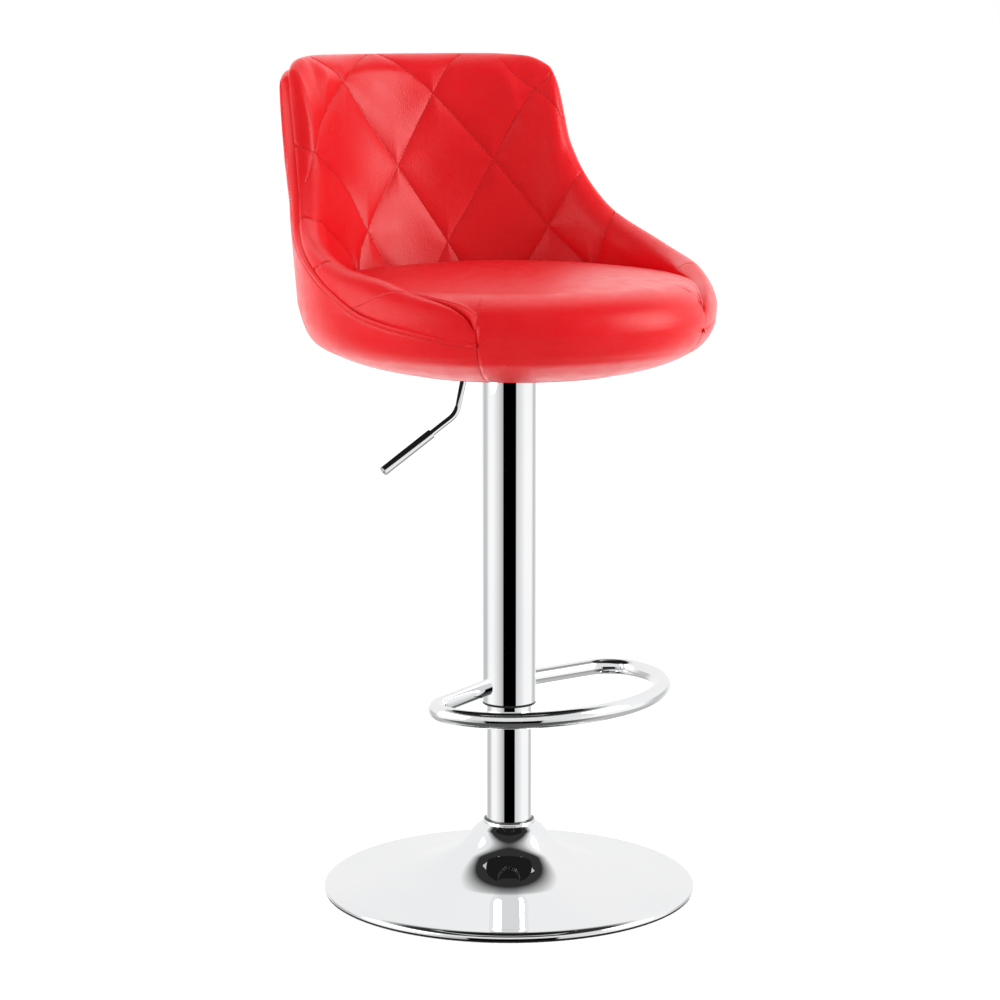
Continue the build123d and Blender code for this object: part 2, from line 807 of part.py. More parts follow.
def seat_parts():
    stations = back_rows()
    left_wing = [(-row[0],) + row[1:] for row in wing_stations]
    board = seat_board()
    shell = lofted(stations, shell_section)
    for index, angle in enumerate(screw_angles):
        screw = shell_screw(angle) * Cylinder(screw_radius, screw_length)
        board -= screw
        shell -= screw
        save(screw, f"shell_screw_{index + 1}")
    save(board, "seat_board")
    save(shell, "back_shell")
    save(back_pad(stations), "back_pad")
    save(lofted(wing_stations, wing_section), "wing_pad_right")
    save(lofted(left_wing, wing_section), "wing_pad_left")
    outside = lofted(stations, outer_section)
    for side, rows in ((1, wing_stations), (-1, left_wing)):
        first_row = (side * back_stations[-1][0],) + rows[0][1:]
        outside += lofted([first_row, *rows[1:]], wing_outer_section)
    save(outside, "outer_cover")
    save(seat_cushion(), "seat_cushion")
    sheet = disc(hem_inner_radius - soft_gap, board_bottom - underside_sheet, board_bottom)
    window_x = flange_half_length + sheet_window_gap
    window_y = flange_half_width + sheet_window_gap
    window_z = (board_bottom - 2 * past, board_bottom + past)
    sheet -= slab((-window_x, window_x), (-window_y, window_y), window_z)
    save(sheet, "underside_sheet")


base_parts()
column_parts()
lift_parts(bearing_parts())
cover_parts()
save(seat_plate(), "seat_plate")
save(taper_socket(), "taper_socket")
bolt_parts()
lever_parts()
seat_parts()
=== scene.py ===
import json
from collections import namedtuple
from functools import lru_cache
from math import cos, exp, hypot, pi, radians, sin, sqrt
import bmesh
import bpy
from mathutils import Matrix, Vector
from mathutils.bvhtree import BVHTree
from mathutils.geometry import interpolate_bezier
from mathutils.kdtree import KDTree


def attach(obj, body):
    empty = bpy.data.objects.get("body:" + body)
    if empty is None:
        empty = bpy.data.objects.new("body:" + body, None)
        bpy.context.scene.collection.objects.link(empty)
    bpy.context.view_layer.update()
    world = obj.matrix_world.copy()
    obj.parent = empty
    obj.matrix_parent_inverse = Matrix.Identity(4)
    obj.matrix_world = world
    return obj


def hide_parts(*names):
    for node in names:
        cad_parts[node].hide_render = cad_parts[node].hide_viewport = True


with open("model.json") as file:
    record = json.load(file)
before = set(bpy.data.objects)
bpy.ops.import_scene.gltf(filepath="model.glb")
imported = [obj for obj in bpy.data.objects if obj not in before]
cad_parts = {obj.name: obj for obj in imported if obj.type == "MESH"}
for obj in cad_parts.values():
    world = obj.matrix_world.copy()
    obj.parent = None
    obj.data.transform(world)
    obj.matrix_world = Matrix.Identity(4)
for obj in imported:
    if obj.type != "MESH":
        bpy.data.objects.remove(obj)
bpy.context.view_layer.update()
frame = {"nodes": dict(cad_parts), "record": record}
nodes = frame["nodes"]

# Sizes of the seat in metres, in the frame's own axes. Angles are in degrees, from the
# middle of the back (+Y) towards +X.
seat_radius = 0.226
seat_lean = 0.17
lean_start = 0.631
bowl_lean = 0.35
bowl_lean_start = 0.6117
hem_height = 0.581
hem_inner_height = 0.588
hem_width = 0.006
hem_bend = (0.0015, 0.001)
hem_board_gap = 0.004
wall_thickness = 0.038
cover_thickness = 0.012
board_under = 0.6117
board_top = 0.6273
board_edge = 0.2079
cushion_crown = 0.692
cushion_shoulder = (0.192, 0.677)
cushion_side = 0.633
front_seam_left = 139.5
front_seam_right = 145.5
front_station = 138.0
arm_seam_angle = 108.7
soft_gap = 0.0004

# Hidden layers under the leather, the clearances of its seams, and half the angle that
# parts two pads at a seam
shell_depth = 0.0066
pad_lift = 0.004
tip_lift = 0.001
tip_foot_width = 0.0015
seam_tuck = 0.002
seam_clearance = 0.0003
seam_split = 0.06

# Rounded upper edge of the outer cover, and the swell of its upper part round the back
cover_edge_drop = 0.0008
cover_edge_in = 0.0024
cover_edge_down = 0.0032
cover_edge_fall = 1.3
cover_edge_flat = 0.001
cover_edge_tilt = 0.0005
cover_wall_least = 0.004
cover_tip_thinning = 0.8
swell_depth = 0.0042
swell_end_angle = 57.0
swell_fade_angle = 10.0
swell_start_height = 0.74
swell_fade_height = 0.06

# Lip of the cushion where it turns down beside the back, and how it shrinks along the arms
lip_turn = 0.008
lip_turn_loss = 0.005
lip_ease_start = 85.0
lip_ease_length = 40.0
lip_bend = (0.7, 0.3)

# Quilting: depth and width to which a sewn line draws the padding in, how far in from the rim
# that begins, and the groove of the line itself
quilt_depth = 0.0030
quilt_reach = 0.009
crest_inset = 0.016
groove_depth = 0.0013
rim_groove_depth = 0.0006
groove_width = 0.0012
refine_reaches = (0.0045, 0.0026)

# Stitches: pitch and length, thickness of the thread, and the row that runs below the rim seam
quilt_stitch = (0.0044, 0.0033)
seam_stitch = (0.0042, 0.0031)
thread_thickness = 0.0009
rim_row_drop = 0.0068
rim_row_end = 1.0
rim_row_points = 1800

# How far a point of a pad takes part in the sewing: its leather does, its hidden sides don't
showing = 1.0
hidden = 0.0

# Mesh steps across the seat, and rows over each stretch of a section
steep_zone = (34.0, 62.0)
steep_step = 0.27
plain_step = 0.62
end_margin = 0.4
cushion_seam_clear = 0.5
tip_columns = 72
cushion_columns = 420
roll_rows = 44
inner_face_rows = 92
cover_edge_rows = 10
cover_wall_rows = 66
cover_bowl_rows = 60
hem_part_rows = 6
dome_rows = 80
lip_rows = 24
apron_rows = 44
board_edge_rows = 2
board_rows = 10
cushion_under_rows = 3 * hem_part_rows + board_edge_rows + board_rows
seam_rows = 4
pad_foot_rows = 6
pad_back_rows = 16
cover_back_rows = 10
tip_side_rows = 10
tip_back_rows = 8

# Edge of the back and arms, round to the front seam: angle, crest height, drop to the
# outer seam, seam in from the rim, crest in from the rim, drop to the inner shoulder,
# inner face in from the rim
rim_stations = (
    (0.0, 0.912, 0.014, 0.005, 0.016, 0.022, 0.038),
    (25.0, 0.912, 0.014, 0.005, 0.016, 0.022, 0.038),
    (36.0, 0.9095, 0.011, 0.006, 0.017, 0.024, 0.038),
    (42.6, 0.898, 0.006, 0.008, 0.014, 0.026, 0.038),
    (45.0, 0.881, 0.005, 0.009, 0.015, 0.026, 0.038),
    (49.5, 0.814, 0.004, 0.011, 0.016, 0.026, 0.038),
    (56.0, 0.770, 0.004, 0.012, 0.0165, 0.026, 0.038),
    (65.0, 0.737, 0.008, 0.008, 0.016, 0.026, 0.038),
    (76.5, 0.717, 0.011, 0.004, 0.016, 0.026, 0.038),
    (92.5, 0.699, 0.022, 0.001, 0.017, 0.022, 0.038),
    (arm_seam_angle, 0.689, 0.036, 0.0, 0.018, 0.013, 0.038),
    (113.0, 0.6845, 0.0355, 0.0, 0.017, 0.0075, 0.0345),
    (120.0, 0.677, 0.033, 0.0, 0.013, 0.003, 0.026),
    (130.0, 0.667, 0.030, 0.0, 0.0075, 0.001, 0.015),
    (135.0, 0.6565, 0.0225, 0.0, 0.0045, 0.0005, 0.0085),
    (front_station, 0.6435, 0.0105, 0.0, 0.002, 0.0005, 0.0035),
)
rim_ease_angle = 80.0
shoulder_turn = 13.0

# Bowl of the seat from the hem up: height, radius
bowl_stations = (
    (hem_height, 0.1250), (0.585, 0.1457), (0.593, 0.1745), (0.601, 0.1935), (0.607, 0.2050),
    (0.6117, 0.2108), (0.6165, 0.2148), (0.624, 0.2190), (cushion_side, 0.2222), (0.645, 0.2247),
    (0.655, seat_radius),
)
bowl_top = bowl_stations[-1][0]

# Cross seam of each arm: angle at the outer seam and at the inner shoulder
cross_seams = {1: (arm_seam_angle, arm_seam_angle), -1: (101.5, 131.0)}
slant_start = 78.0
cross_seam_bow = 0.8

# Sewn lines of the quilted back: angle, height and distance from the column axis
quilt_lines = (
    ((30.5, 0.904, 0.230), (33.9, 0.8904, 0.2232), (39.7, 0.8747, 0.2183), (44.8, 0.862, 0.2135),
     (47.6, 0.851, 0.220), (48.6, 0.838, 0.231)),
    ((-3.6, 0.912, 0.252), (-1.2, 0.9071, 0.2397), (3.6, 0.8892, 0.2318), (9.8, 0.8677, 0.2275),
     (27.0, 0.7931, 0.2122), (44.8, 0.7183, 0.1983), (51.3, 0.6975, 0.1949), (60.0, 0.672, 0.1915)),
    ((-31.0, 0.911, 0.243), (-29.0, 0.9057, 0.2318), (-21.0, 0.8821, 0.2273), (-11.9, 0.8349, 0.2219),
     (-3.5, 0.7875, 0.2147), (4.2, 0.7439, 0.2075), (11.8, 0.701, 0.200), (17.0, 0.670, 0.195)),
    ((-49.0, 0.818, 0.236), (-49.3, 0.8141, 0.2228), (-45.0, 0.806, 0.2125), (-37.0, 0.791, 0.2105),
     (-29.9, 0.7773, 0.2092), (-24.6, 0.7576, 0.2075), (-18.5, 0.7179, 0.2022), (-10.5, 0.672, 0.1955)),
    ((-8.0, 0.9115, 0.251), (-12.0, 0.9077, 0.2392), (-21.0, 0.8821, 0.2273), (-36.0, 0.845, 0.2195),
     (-45.0, 0.818, 0.214), (-52.0, 0.786, 0.217), (-56.0, 0.764, 0.227)),
    ((18.5, 0.911, 0.246), (15.5, 0.9033, 0.2343), (9.8, 0.8677, 0.2275), (-3.5, 0.7875, 0.2147),
     (-18.5, 0.7179, 0.2022), (-22.8, 0.6999, 0.199), (-26.0, 0.672, 0.1945)),
    ((46.3, 0.9, 0.222), (44.3, 0.8937, 0.214), (39.7, 0.8747, 0.2183), (33.1, 0.8348, 0.2161),
     (27.0, 0.7931, 0.2122), (19.5, 0.7439, 0.2062), (11.8, 0.701, 0.200), (6.8, 0.672, 0.1955)),
    ((54.0, 0.778, 0.218), (52.5, 0.768, 0.206), (50.3, 0.7537, 0.2007), (44.8, 0.7183, 0.1983),
     (37.0, 0.672, 0.193)),
)
arm_lines = (
    ((64.5, 0.731, 0.2255), (65.7, 0.7353, 0.2155), (66.6, 0.7285, 0.2),
     (65.8, 0.7191, 0.1938), (61.5, 0.672, 0.191)),
    ((-62.0, 0.737, 0.2265), (-62.4, 0.7435, 0.2202), (-61.0, 0.7407, 0.2041), (-46.0, 0.7255, 0.1995),
     (-36.0, 0.710, 0.1987), (-28.7, 0.6904, 0.197), (-27.0, 0.672, 0.1945)),
)
small_seams = (
    ((-82.5, 0.6925, 0.2275), (-83.4, 0.6975, 0.2255), (-85.2, 0.7003, 0.2214), (-86.3, 0.7044, 0.2118)),
    ((82.5, 0.6925, 0.2275), (83.4, 0.6975, 0.2255), (85.2, 0.7003, 0.2214), (86.3, 0.7044, 0.2118)),
)

# Base dish in section: distance from the axis, height
dish_flare = ((0.0284, 0.0752), (0.037, 0.069), (0.058, 0.045), (0.105, 0.0235), (0.150, 0.0155),
              (0.1900, 0.0105))
dish_lip = ((0.0265, 0.0765), (0.0278, 0.0780), (0.0292, 0.0768), (0.0292, 0.0758))
dish_foot = ((0.205, 0.0026), (0.2035, 0.0026), (0.2035, 0.0045))
dish_throat = (0.0265, 0.072)
dish_sheet = 0.0015
brim_width = 0.015
brim_drop = 0.0065
brim_rows = 20
dish_lip_top_rows = 10
dish_lip_side_rows = 6
flare_steps = 25
dish_columns = 240
dish_crisp_angle = 50.0

# Finish of the frame's own meshes
weld_distance = 1e-6
crisp_angle = 28.0
unmirrored = ("foot_loop", "lever_rod", "lever_sleeve")

# Brightness of the white room that polished metal mirrors, at eye level, higher up and towards
# the floor, and of the dim room that leather mirrors: degrees to the camera's right, level
room_low = ((-180, 0.9), (-150, 0.9), (-134, 0.55), (-112, 0.6), (-95, 1.0), (-72, 1.0), (-45, 0.72),
            (-26, 0.45), (-24.5, 0.0), (29, 0.0), (31, 0.68), (55, 0.84), (72, 1.0), (110, 1.0),
            (124, 0.6), (140, 0.6), (155, 0.9), (180, 0.9))
room_high = ((-180, 0.9), (-100, 0.9), (-60, 0.8), (60, 0.8), (100, 0.95), (180, 0.9))
room_floor = ((-180, 0.5), (-100, 0.5), (-70, 0.1), (60, 0.1), (95, 0.5), (180, 0.5))
room_dim = ((-180, 1.7), (-140, 1.7), (-105, 0.2), (-60, 0.06), (60, 0.06), (105, 0.2), (140, 1.7),
            (180, 1.7))
room_zenith = 0.03

# Where one part of the white room blends into the next, as heights of a direction of length 1
high_blend = (-0.03, 0.10)
zenith_blend = (0.73, 0.84)
floor_blend = (-0.36, -0.5)

# Studio light, floor, and the dark card under the seat, a sheet of painted shade that the chrome mirrors in
# place of the seat's shaded underside
room_strength = 1.05
ambient_strength = 0.62
white_strength = 1.0
floor_tone = 0.9
floor_lift = 0.52
floor_half = 30
floor_height = -0.0005
# Near-black glow of the card: painted shade for what the chrome mirrors under the seat
painted_shade_tone = 0.012
card_radii = (0.225, 0.031)
card_height = 0.5795
card_segments = 96

# Camera of the photograph
camera_bearing = -32.0
camera_place = Vector((-1.69309205, -2.70951367, 0.97757435))
camera_tilt = 9.63446
camera_swing = -0.1790
camera_lens = 107.158
sensor_width = 36.0


# Shape of the seat

Edge = namedtuple("Edge", "seam seam_in crest crest_in shoulder inner_in")


def clamped(share):
    return min(max(share, 0.0), 1.0)


def eased(share):
    return share * share * (3 - 2 * share)


def slope_at(stations, index, column):
    """Slope at a station that never lets the curve overshoot."""
    if index in (0, len(stations) - 1):
        return 0.0
    before, here, after = stations[index - 1:index + 2]
    fall_in = (here[column] - before[column]) / (here[0] - before[0])
    fall_out = (after[column] - here[column]) / (after[0] - here[0])
    if fall_in * fall_out <= 0:
        return 0.0
    return 2 * fall_in * fall_out / (fall_in + fall_out)


def between(stations, at, column):
    """A column of the stations, read on a smooth curve through them."""
    index = 0
    while index < len(stations) - 2 and stations[index + 1][0] < at:
        index += 1
    low, high = stations[index], stations[index + 1]
    span = high[0] - low[0]
    t = clamped((at - low[0]) / span)
    ease = eased(t)
    leave = t * (1 - t) ** 2 * span * slope_at(stations, index, column)
    arrive = t * t * (t - 1) * span * slope_at(stations, index + 1, column)
    return low[column] * (1 - ease) + high[column] * ease + leave + arrive


def leaning(angle, radius, height):
    """Distance from the column axis to the leaning wall of the seat."""
    shift = seat_lean * max(height - lean_start, 0) + bowl_lean * min(height - bowl_lean_start, 0)
    turn = radians(angle)
    return shift * cos(turn) + sqrt(radius ** 2 - (shift * sin(turn)) ** 2)


def rim_radius(angle, height):
    """Outside of the seat, which draws in below the arms."""
    return leaning(angle, between(bowl_stations, height, 1), height)


def wall_radius(angle, height):
    """The wall before it draws in, which the inner faces follow."""
    return leaning(angle, seat_radius, max(height, lean_start))


def station_angle(angle):
    """The angle that the stations give for a place on either side of the seat."""
    turn = abs(angle)
    if turn <= arm_seam_angle:
        return turn
    end = front_seam_right if angle > 0 else front_seam_left
    squeeze = (front_station - arm_seam_angle) / (end - arm_seam_angle)
    return arm_seam_angle + (turn - arm_seam_angle) * squeeze


@lru_cache(maxsize=None)
def edge_at(angle):
    """Heights of the rim's seam, crest and inner shoulder, and how far in from the rim they lie."""
    turn = station_angle(angle)
    crest, seam_drop, seam_in, crest_in, shoulder_drop, inner_in = [
        between(rim_stations, turn, column) for column in range(1, 7)]
    room = clamped((arm_seam_angle - turn) / (arm_seam_angle - rim_ease_angle))
    fall = crest - between(rim_stations, turn + shoulder_turn * room, 1)
    return Edge(crest - seam_drop, seam_in, crest, crest_in, crest - hypot(shoulder_drop, fall), inner_in)


def seam_height(angle):
    return edge_at(angle).seam


@lru_cache(maxsize=None)
def seam_steepness(angle):
    """Length of rim for each unit of its level run."""
    step = 1.0
    low = max(angle - step, -front_seam_left)
    high = min(angle + step, front_seam_right)
    return hypot(1, (seam_height(high) - seam_height(low)) / (seat_radius * radians(high - low)))


def place(angle, r, z):
    turn = radians(angle)
    return Vector((r * sin(turn), r * cos(turn), z))


def roll_point(angle, share):
    """A point on the rounded edge, from the outer seam at 0 to the inner shoulder at 1."""
    edge = edge_at(angle)
    turn = pi * share
    if share < 0.5:
        z = edge.seam + (edge.crest - edge.seam) * sin(turn)
        inside = edge.seam_in + (edge.crest_in - edge.seam_in) * (1 - cos(turn))
    else:
        z = edge.shoulder + (edge.crest - edge.shoulder) * sin(turn)
        inside = edge.crest_in - (edge.inner_in - edge.crest_in) * cos(turn)
    return rim_radius(angle, z) - inside, z


def along(start, end, share):
    return start[0] + (end[0] - start[0]) * share, start[1] + (end[1] - start[1]) * share


def straight_rows(start, end, count, weight):
    """Points on a straight stretch of a section, up to its end."""
    return [(*along(start, end, n / count), weight) for n in range(count)]


def crossing_rows(from_at, to_at, start, end, count):
    """Hidden points on a straight stretch that also goes from one angle to another."""
    rows = straight_rows(start, end, count, hidden)
    return [(from_at + (to_at - from_at) * n / count, *row) for n, row in enumerate(rows)]


def turned_to(angle, rows):
    return [(angle, *row) for row in rows]


def arc(start, middle, end, count):
    """Points on the round stretch through three points, up to its end."""
    ax, ay = middle[0] - start[0], middle[1] - start[1]
    bx, by = end[0] - start[0], end[1] - start[1]
    cross = 2 * (ax * by - ay * bx)
    ux = (by * (ax * ax + ay * ay) - ay * (bx * bx + by * by)) / cross
    uy = (ax * (bx * bx + by * by) - bx * (ax * ax + ay * ay)) / cross
    centre = Vector((start[0] + ux, start[1] + uy))
    first, halfway, last = [Vector(point) - centre for point in (start, middle, end)]
    turn = first.angle_signed(halfway) + halfway.angle_signed(last)
    points = []
    for n in range(count):
        step = Matrix.Rotation(-turn * n / count, 2) @ first
        points.append((centre.x + step.x, centre.y + step.y))
    return points


# Mesh making

def grid_over(columns, closed):
    """A surface through columns of angle, radius, height and whether each point shows."""
    bm = bmesh.new()
    across, up = len(columns) - 1, len(columns[0]) - 1
    bmesh.ops.create_grid(bm, x_segments=across, y_segments=up, size=0.5)
    shown = bm.verts.layers.float.new("shown")
    for vert in bm.verts:
        column = round((vert.co.x + 0.5) * across)
        row = round((vert.co.y + 0.5) * up)
        angle, r, z, weight = columns[column][row]
        vert.co = place(angle, r, z)
        vert[shown] = weight
    bmesh.ops.remove_doubles(bm, verts=bm.verts, dist=2e-5)
    bmesh.ops.dissolve_degenerate(bm, dist=1e-6, edges=bm.edges)
    if closed:
        rim = [edge for edge in bm.edges if edge.is_boundary]
        bmesh.ops.holes_fill(bm, edges=rim, sides=0)
    bmesh.ops.recalc_face_normals(bm, faces=bm.faces)
    bm.normal_update()
    return bm


def piece(name, bm, material):
    mesh = bpy.data.meshes.new(name)
    bm.to_mesh(mesh)
    bm.free()
    mesh.shade_smooth()
    obj = bpy.data.objects.new(name, mesh)
    bpy.context.scene.collection.objects.link(obj)
    obj.data.materials.append(material)
    return obj


def finish_piece(obj, body, replaced=()):
    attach(obj, body)
    if replaced:
        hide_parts(*replaced)


def passing(values, t):
    """A value on the smooth curve from the second of four values to the third."""
    p, q, r, s = values
    bend = 2 * p - 5 * q + 4 * r - s
    twist = 3 * q - p - 3 * r + s
    return 0.5 * (2 * q + (r - p) * t + bend * t * t + twist * t ** 3)


def sewn_curve(points, spacing=0.0007):
    """Points along a smooth line through angle, height, radius stations."""
    ends = [points[0], *points, points[-1]]
    path = []
    for before, start, end, after in zip(ends, ends[1:], ends[2:], ends[3:]):
        length = (place(end[0], end[2], end[1]) - place(start[0], start[2], start[1])).length
        steps = max(2, int(length / spacing))
        for n in range(steps):
            angle, z, r = [passing(values, n / steps) for values in zip(before, start, end, after)]
            path.append(place(angle, r, z))
    return path


def tree_of(paths):
    points = [point for path in paths for point in path]
    tree = KDTree(len(points))
    for index, point in enumerate(points):
        tree.insert(point, index)
    tree.balance()
    return tree


def refine_along(bm, paths, reach):
    """Splits the faces near sewn lines so that a narrow groove holds its shape."""
    tree = tree_of(paths)
    shown = bm.verts.layers.float["shown"]
    near = []
    for edge in bm.edges:
        first, second = edge.verts
        if first[shown] > 0 and second[shown] > 0 and tree.find((first.co + second.co) / 2)[2] < reach:
            near.append(edge)
    bmesh.ops.subdivide_edges(bm, edges=near, cuts=1, use_grid_fill=True)
    bm.normal_update()


def sink_along(bm, paths, depth, width):
    """Presses a narrow groove into the shown side along sewn lines."""
    tree = tree_of(paths)
    shown = bm.verts.layers.float["shown"]
    for vert in bm.verts:
        if vert[shown] > 0:
            away = tree.find(vert.co)[2]
            if away < 4 * width:
                vert.co -= vert.normal * depth * vert[shown] * exp(-(away / width) ** 2)
    bm.normal_update()


def stitches(name, paths, surface, stitch):
    """A row of thread stitches lying on a surface along each path."""
    pitch, length = stitch
    shape = Matrix.Diagonal((length / 2, thread_thickness / 2, thread_thickness / 2, 1))
    bm = bmesh.new()
    tree = BVHTree.FromBMesh(surface)
    for path in paths:
        travelled, next_at = 0.0, pitch / 2
        for start, end in zip(path, path[1:]):
            step = end - start
            travelled += step.length
            if travelled < next_at or step.length == 0:
                continue
            next_at += pitch
            spot, normal, _, _ = tree.find_nearest(end)
            ahead = (step - normal * step.dot(normal)).normalized()
            turn = Matrix((ahead, normal.cross(ahead), normal)).transposed().to_4x4()
            where = Matrix.Translation(spot) @ turn
            bmesh.ops.create_icosphere(bm, subdivisions=1, radius=1, matrix=where @ shape)
    return piece(name, bm, thread)


# Materials

def new_material(name):
    material = bpy.data.materials.new(name)
    material.use_nodes = True
    tree = material.node_tree
    return material, tree, tree.nodes["Principled BSDF"]


def link(tree, output, socket):
    tree.links.new(output, socket)


def noise_at(tree, scale, detail, squeeze=(1, 1, 1)):
    coords = tree.nodes.new("ShaderNodeTexCoord")
    mapping = tree.nodes.new("ShaderNodeMapping")
    mapping.inputs["Scale"].default_value = squeeze
    noise = tree.nodes.new("ShaderNodeTexNoise")
    noise.inputs["Scale"].default_value = scale
    noise.inputs["Detail"].default_value = detail
    link(tree, coords.outputs["Object"], mapping.inputs["Vector"])
    link(tree, mapping.outputs["Vector"], noise.inputs["Vector"])
    return noise.outputs["Fac"]


def cells_at(tree, scale):
    coords = tree.nodes.new("ShaderNodeTexCoord")
    cells = tree.nodes.new("ShaderNodeTexVoronoi")
    cells.inputs["Scale"].default_value = scale
    link(tree, coords.outputs["Object"], cells.inputs["Vector"])
    return cells


def ramp(tree, value, stops):
    node = tree.nodes.new("ShaderNodeValToRGB")
    elements = node.color_ramp.elements
    while len(elements) < len(stops):
        elements.new(0.5)
    for element, (position, colour) in zip(elements, stops):
        element.position = position
        element.color = (*colour, 1)
    link(tree, value, node.inputs["Fac"])
    return node.outputs["Color"]


def two_tone(tree, value, low, high):
    return ramp(tree, value, ((0.3, low), (0.7, high)))


def bump(tree, height, strength, distance, before=None):
    node = tree.nodes.new("ShaderNodeBump")
    node.inputs["Strength"].default_value = strength
    node.inputs["Distance"].default_value = distance
    link(tree, height, node.inputs["Height"])
    if before is not None:
        link(tree, before, node.inputs["Normal"])
    return node.outputs["Normal"]


def grey(value):
    return (value, value, value)


def red_leather():
    material, tree, shader = new_material("red_leather")
    tone = two_tone(tree, noise_at(tree, scale=9.0, detail=4.0), (0.75, 0.002, 0.006), (0.81, 0.004, 0.009))
    link(tree, tone, shader.inputs["Base Color"])
    gloss = two_tone(tree, noise_at(tree, scale=60.0, detail=4.0), grey(0.32), grey(0.42))
    link(tree, gloss, shader.inputs["Roughness"])
    pebbles = cells_at(tree, scale=620.0)
    pebbles.feature = "SMOOTH_F1"
    pebbles.inputs["Smoothness"].default_value = 0.6
    grain = bump(tree, pebbles.outputs["Distance"], strength=0.28, distance=0.0006)
    creases = noise_at(tree, scale=160.0, detail=5.0)
    surface = bump(tree, creases, strength=0.18, distance=0.0008, before=grain)
    link(tree, surface, shader.inputs["Normal"])
    shader.inputs["IOR"].default_value = 1.38
    return material


def red_thread():
    material, tree, shader = new_material("red_thread")
    tone = two_tone(tree, noise_at(tree, scale=900.0, detail=2.0), (0.42, 0.002, 0.005), (0.55, 0.004, 0.008))
    link(tree, tone, shader.inputs["Base Color"])
    fibres = noise_at(tree, scale=2600.0, detail=2.0)
    link(tree, bump(tree, fibres, strength=0.4, distance=0.0002), shader.inputs["Normal"])
    shader.inputs["Roughness"].default_value = 0.55
    return material


def chrome():
    material, tree, shader = new_material("chrome")
    tone = two_tone(tree, noise_at(tree, scale=5.0, detail=2.0), (0.86, 0.87, 0.88), (0.91, 0.91, 0.92))
    link(tree, tone, shader.inputs["Base Color"])
    gloss = ramp(tree, noise_at(tree, scale=40.0, detail=6.0), ((0.35, grey(0.0)), (0.7, grey(0.003))))
    link(tree, gloss, shader.inputs["Roughness"])
    shader.inputs["Metallic"].default_value = 1.0
    return material


def steel(name, low, high, rough):
    material, tree, shader = new_material(name)
    tone = two_tone(tree, noise_at(tree, scale=30.0, detail=4.0), low, high)
    link(tree, tone, shader.inputs["Base Color"])
    streaks = noise_at(tree, scale=200.0, detail=3.0, squeeze=(1, 1, 0.1))
    gloss = two_tone(tree, streaks, grey(rough - 0.07), grey(rough + 0.07))
    link(tree, gloss, shader.inputs["Roughness"])
    grain = noise_at(tree, scale=500.0, detail=3.0)
    link(tree, bump(tree, grain, strength=0.08, distance=0.0005), shader.inputs["Normal"])
    shader.inputs["Metallic"].default_value = 1.0
    return material


def coated(name, low, high, rough, grain_size, grain_strength):
    material, tree, shader = new_material(name)
    tone = two_tone(tree, noise_at(tree, scale=25.0, detail=4.0), low, high)
    link(tree, tone, shader.inputs["Base Color"])
    patches = noise_at(tree, scale=90.0, detail=3.0)
    gloss = two_tone(tree, patches, grey(rough - 0.06), grey(rough + 0.06))
    link(tree, gloss, shader.inputs["Roughness"])
    grain = noise_at(tree, scale=grain_size, detail=3.0)
    link(tree, bump(tree, grain, strength=grain_strength, distance=0.0006), shader.inputs["Normal"])
    return material


def plywood():
    material, tree, shader = new_material("plywood")
    grain = noise_at(tree, scale=30.0, detail=6.0, squeeze=(1, 8, 1))
    link(tree, two_tone(tree, grain, (0.42, 0.26, 0.13), (0.62, 0.44, 0.26)), shader.inputs["Base Color"])
    link(tree, bump(tree, grain, strength=0.2, distance=0.0006), shader.inputs["Normal"])
    shader.inputs["Roughness"].default_value = 0.65
    return material


def black_fabric():
    material, tree, shader = new_material("black_fabric")
    weave = cells_at(tree, scale=700.0).outputs["Distance"]
    tone = ramp(tree, weave, ((0.1, grey(0.012)), (0.8, grey(0.03))))
    link(tree, tone, shader.inputs["Base Color"])
    link(tree, bump(tree, weave, strength=0.5, distance=0.0005), shader.inputs["Normal"])
    shader.inputs["Roughness"].default_value = 0.9
    return material


leather = red_leather()
thread = red_thread()
finishes = {
    "chrome": chrome(),
    "bright_steel": steel("bright_steel", (0.55, 0.55, 0.56), (0.68, 0.68, 0.69), 0.3),
    "black_steel": coated("black_steel", grey(0.012), grey(0.022), 0.4, 700.0, 0.12),
    "black_plastic": coated("black_plastic", grey(0.010), grey(0.018), 0.45, 1200.0, 0.2),
    "rubber": coated("rubber", grey(0.008), grey(0.016), 0.75, 900.0, 0.3),
    "plywood": plywood(),
    "black_fabric": black_fabric(),
    "red_leather": leather,
}


# Upholstery

def rim_angles(low, high):
    """Angles across the seat, close together where the rim drops steeply."""
    angles = [low]
    while angles[-1] < high - end_margin:
        steep = steep_zone[0] < abs(angles[-1]) < steep_zone[1]
        angles.append(angles[-1] + (steep_step if steep else plain_step))
    angles[-1] = high
    return angles


def cross_seam(side, share):
    """Angle of an arm's cross seam, from the outer seam at 0 to the inner shoulder at 1."""
    at_seam, at_shoulder = cross_seams[side]
    return at_seam + (at_shoulder - at_seam) * share ** cross_seam_bow


def slanted(angle, share):
    """Moves the end of the back to the slanted cross seam of the arm."""
    side = 1 if angle > 0 else -1
    pull = clamped((abs(angle) - slant_start) / (arm_seam_angle - slant_start)) ** 2
    return angle + side * pull * (cross_seam(side, share) - arm_seam_angle)


